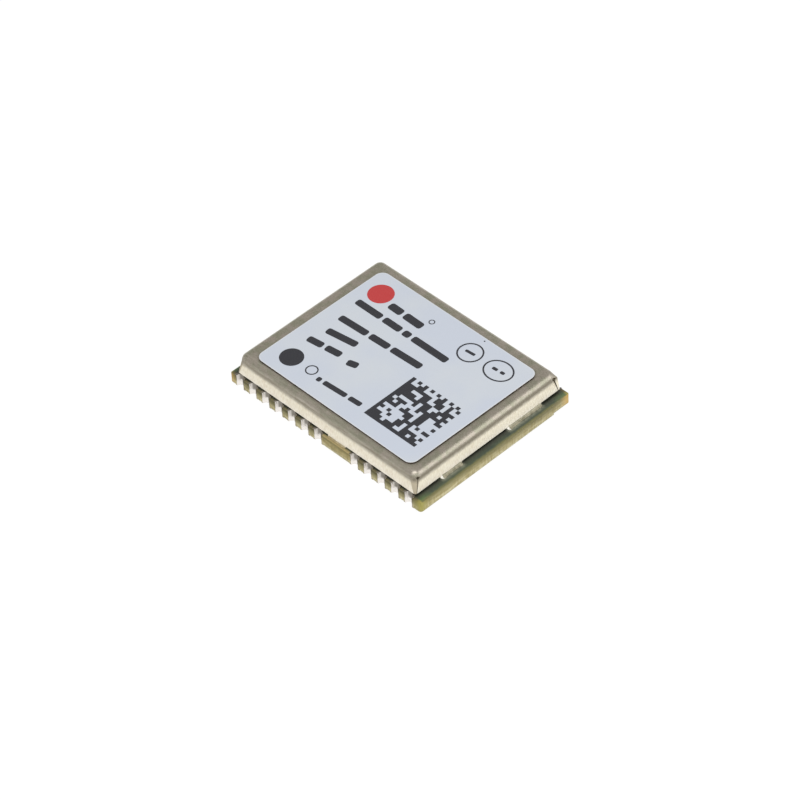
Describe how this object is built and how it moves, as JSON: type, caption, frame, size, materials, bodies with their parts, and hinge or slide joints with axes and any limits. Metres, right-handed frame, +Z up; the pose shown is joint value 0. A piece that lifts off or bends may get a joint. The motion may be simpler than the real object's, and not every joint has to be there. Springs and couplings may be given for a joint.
{
  "type": "satellite positioning receiver module",
  "caption": "Surface-mount satellite positioning receiver: a green board with plated edge terminals on both long sides, a folded metal shield can soldered over its circuit, and a film label.",
  "frame": {"origin": "centre of the footprint, on the plane that the terminals' lands stand on", "axes": "+X along the long side of the board, from the end with the pin-one dot to the other; +Y along the short side; +Z up, out of the label"},
  "size_m": [0.016, 0.0122, 0.0024],
  "materials": {
    "laminate": "green solder mask over glass-epoxy laminate with cut olive-yellow edges",
    "plating": "satin silver-white plating on copper",
    "can": "satin tinned sheet",
    "solder": "bright reflowed solder",
    "label": "satin silver film with dark and red print",
    "moulded_epoxy": "matt moulded",
    "crystal_lid": "satin plated lid",
    "ferrite": "matt sintered",
    "capacitor": "fired ceramic with tinned ends",
    "resistor": "glazed with tinned ends"
  },
  "bodies": {
    "root": {"circuit_board": "laminate", "shield_can": "can", "label": "label", "terminal_01": "plating", "terminal_02": "plating", "terminal_03": "plating", "terminal_04": "plating", "terminal_05": "plating", "terminal_06": "plating", "terminal_07": "plating", "terminal_08": "plating", "terminal_09": "plating", "terminal_10": "plating", "terminal_11": "plating", "terminal_12": "plating", "terminal_13": "plating", "terminal_14": "plating", "terminal_15": "plating", "terminal_16": "plating", "terminal_17": "plating", "terminal_18": "plating", "terminal_19": "plating", "terminal_20": "plating", "terminal_21": "plating", "terminal_22": "plating", "terminal_23": "plating", "terminal_24": "plating", "solder_fillet_1": "solder", "solder_fillet_2": "solder", "solder_fillet_3": "solder", "solder_fillet_4": "solder", "solder_fillet_5": "solder", "solder_fillet_6": "solder", "receiver_chip": "moulded_epoxy", "antenna_amplifier": "moulded_epoxy", "voltage_regulator": "moulded_epoxy", "reference_crystal": "crystal_lid", "clock_crystal": "crystal_lid", "antenna_filter": "crystal_lid", "power_inductor": "ferrite", "capacitor_1": "capacitor", "capacitor_2": "capacitor", "capacitor_3": "capacitor", "capacitor_4": "capacitor", "capacitor_5": "capacitor", "capacitor_6": "capacitor", "capacitor_7": "capacitor", "capacitor_8": "capacitor", "capacitor_9": "capacitor", "resistor_1": "resistor", "resistor_2": "resistor", "resistor_3": "resistor", "resistor_4": "resistor", "resistor_5": "resistor", "resistor_6": "resistor"}
  },
  "joints": []
}
